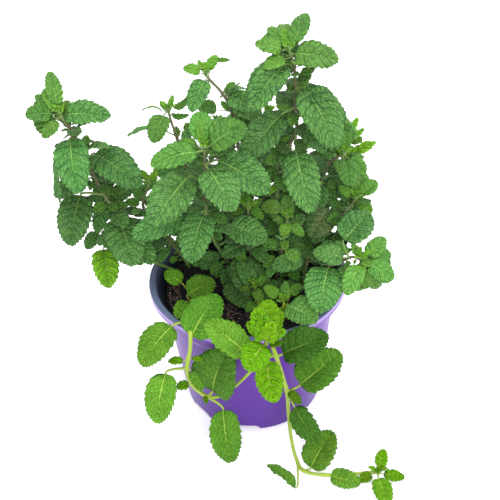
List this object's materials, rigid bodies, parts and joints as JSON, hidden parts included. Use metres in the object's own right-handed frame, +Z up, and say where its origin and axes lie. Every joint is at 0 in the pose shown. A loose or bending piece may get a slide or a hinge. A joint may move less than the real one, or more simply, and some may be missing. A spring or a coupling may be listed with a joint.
{
  "type": "potted strawberry mint",
  "caption": "Bushy strawberry mint with toothed leaves on square stems in a thin tapered growing pot; two stems trail over the rim.",
  "frame": {"origin": "middle of the pot's flat underside, on the surface that it stands on", "axes": "+Z up, -Y towards the front that the picture shows, +X to its right"},
  "size_m": [0.211, 0.2142, 0.2627],
  "materials": {
    "pot": "satin, thin moulded plastic, purple outside and charcoal inside",
    "soil": "dark damp peat and bark mix",
    "leafy_stem": "satin green leaf and stem tissue"
  },
  "bodies": {
    "root": {"pot": "pot", "soil": "soil", "stem_front_right": "leafy_stem", "stem_front_left": "leafy_stem", "stem_trail_left": "leafy_stem", "stem_trail_right": "leafy_stem", "stem_right_low": "leafy_stem", "stem_middle": "leafy_stem", "stem_centre_right": "leafy_stem", "stem_centre_left": "leafy_stem", "stem_left_inner": "leafy_stem", "stem_left": "leafy_stem", "stem_right_middle": "leafy_stem", "stem_right_upper": "leafy_stem", "stem_far_right": "leafy_stem", "stem_top": "leafy_stem", "stem_upper_left": "leafy_stem", "stem_far_left": "leafy_stem", "stem_back_left": "leafy_stem", "stem_back_middle": "leafy_stem", "stem_back_right": "leafy_stem", "stem_back_far_right": "leafy_stem", "stem_side_right": "leafy_stem"}
  },
  "joints": []
}
